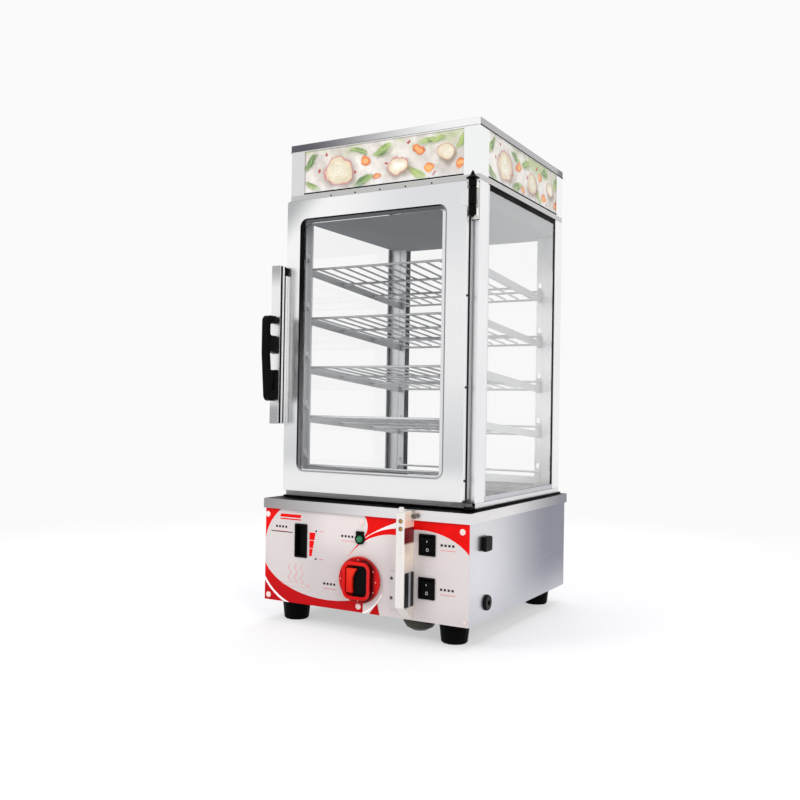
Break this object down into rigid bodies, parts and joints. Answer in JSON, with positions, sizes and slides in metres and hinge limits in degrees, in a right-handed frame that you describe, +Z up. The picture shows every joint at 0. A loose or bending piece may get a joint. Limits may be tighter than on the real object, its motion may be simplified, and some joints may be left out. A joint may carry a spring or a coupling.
{
  "type": "steamer cabinet",
  "caption": "Counter-top glazed steamer cabinet: hinged glass door, sloping wire racks, lit header and a steel water base with knob, switches and fill column",
  "frame": {"origin": "centre of the cabinet's bounding box, on the plane that the four feet stand on", "axes": "+Z up, +Y to the back, so the door and the control panel look to -Y, and +X to the hinge side"},
  "size_m": [0.3644, 0.4334, 0.76],
  "materials": {
    "steel": "brushed stainless sheet",
    "bright_steel": "polished stainless",
    "grey_steel": "matt stainless sheet",
    "panel_face": "steel sheet under a printed film with red bands",
    "glass": "clear toughened glass",
    "rubber": "black moulded rubber",
    "black_plastic": "black moulded plastic",
    "red_plastic": "glossy red plastic with a black core",
    "green_lens": "green translucent lens",
    "printed": "back-lit printed sheet",
    "lamp_white": "white lamp tube and enamelled fitting"
  },
  "bodies": {
    "cabinet": {"roof_cap": "steel", "header_casing": "steel", "picture_front": "printed", "picture_left": "printed", "picture_right": "printed", "ceiling_tray": "grey_steel", "lamp_batten": "lamp_white", "lamp_tube": "lamp_white", "sill_ring": "steel", "post_front_left": "steel", "post_front_right": "steel", "post_back_left": "steel", "post_back_right": "steel", "gasket_left": "rubber", "gasket_right": "rubber", "gasket_back": "rubber", "glass_left": "glass", "glass_right": "glass", "glass_back": "glass", "hinge_top_fixed": "black_plastic", "hinge_low_fixed": "black_plastic", "base_casing": "steel", "base_floor": "grey_steel", "rim": "steel", "drip_gutter": "rubber", "water_tank": "bright_steel", "heating_element": "grey_steel", "front_panel": "panel_face", "level_window": "black_plastic", "signal_lens": "green_lens", "signal_ring": "black_plastic", "thermostat": "black_plastic", "rocker_bezel_upper": "black_plastic", "rocker_bezel_lower": "black_plastic", "fill_column": "steel", "sight_strip": "black_plastic", "drain_outlet": "black_plastic", "side_block": "black_plastic", "cable_gland": "rubber", "foot_front_left": "rubber", "foot_front_right": "rubber", "foot_back_left": "rubber", "foot_back_right": "rubber"},
    "door": {"door_frame": "steel", "door_gasket": "rubber", "door_glass": "glass", "door_seal": "rubber", "hinge_top_moving": "bright_steel", "hinge_low_moving": "bright_steel", "handle_channel": "steel", "handle_grip": "black_plastic"},
    "rack_top": {"rack_1": "bright_steel"},
    "rack_second": {"rack_2": "bright_steel"},
    "rack_third": {"rack_3": "bright_steel"},
    "rack_fourth": {"rack_4": "bright_steel"},
    "rack_lowest": {"rack_5": "bright_steel"},
    "knob": {"temperature_knob": "red_plastic"},
    "upper_switch": {"rocker_paddle_upper": "black_plastic"},
    "lower_switch": {"rocker_paddle_lower": "black_plastic"},
    "lid": {"column_lid": "steel"}
  },
  "joints": [
    {"name": "door_swing", "type": "hinge", "parent": "cabinet", "child": "door", "pos_m": [0.16315, -0.17025, 0.434], "axis": [0, 0, 1], "range_deg": [0, 110]},
    {"name": "rack_top_lift", "type": "slide", "parent": "cabinet", "child": "rack_top", "axis": [0, 0, 1], "range_m": [0, 0.008]},
    {"name": "rack_second_lift", "type": "slide", "parent": "cabinet", "child": "rack_second", "axis": [0, 0, 1], "range_m": [0, 0.008]},
    {"name": "rack_third_lift", "type": "slide", "parent": "cabinet", "child": "rack_third", "axis": [0, 0, 1], "range_m": [0, 0.008]},
    {"name": "rack_fourth_lift", "type": "slide", "parent": "cabinet", "child": "rack_fourth", "axis": [0, 0, 1], "range_m": [0, 0.008]},
    {"name": "rack_lowest_lift", "type": "slide", "parent": "cabinet", "child": "rack_lowest", "axis": [0, 0, 1], "range_m": [0, 0.008]},
    {"name": "knob_turn", "type": "hinge", "parent": "cabinet", "child": "knob", "pos_m": [-0.00185, -0.18885, 0.08], "axis": [0, -1, 0], "range_deg": [0, 270]},
    {"name": "upper_switch_tilt", "type": "hinge", "parent": "cabinet", "child": "upper_switch", "pos_m": [0.10935, -0.18465, 0.1415], "axis": [-1, 0, 0], "range_deg": [0, 12]},
    {"name": "lower_switch_tilt", "type": "hinge", "parent": "cabinet", "child": "lower_switch", "pos_m": [0.10935, -0.18465, 0.0795], "axis": [-1, 0, 0], "range_deg": [0, 12]},
    {"name": "lid_lift", "type": "hinge", "parent": "cabinet", "child": "lid", "pos_m": [0.08015, -0.20025, 0.184], "axis": [-1, 0, 0], "range_deg": [0, 80]}
  ]
}
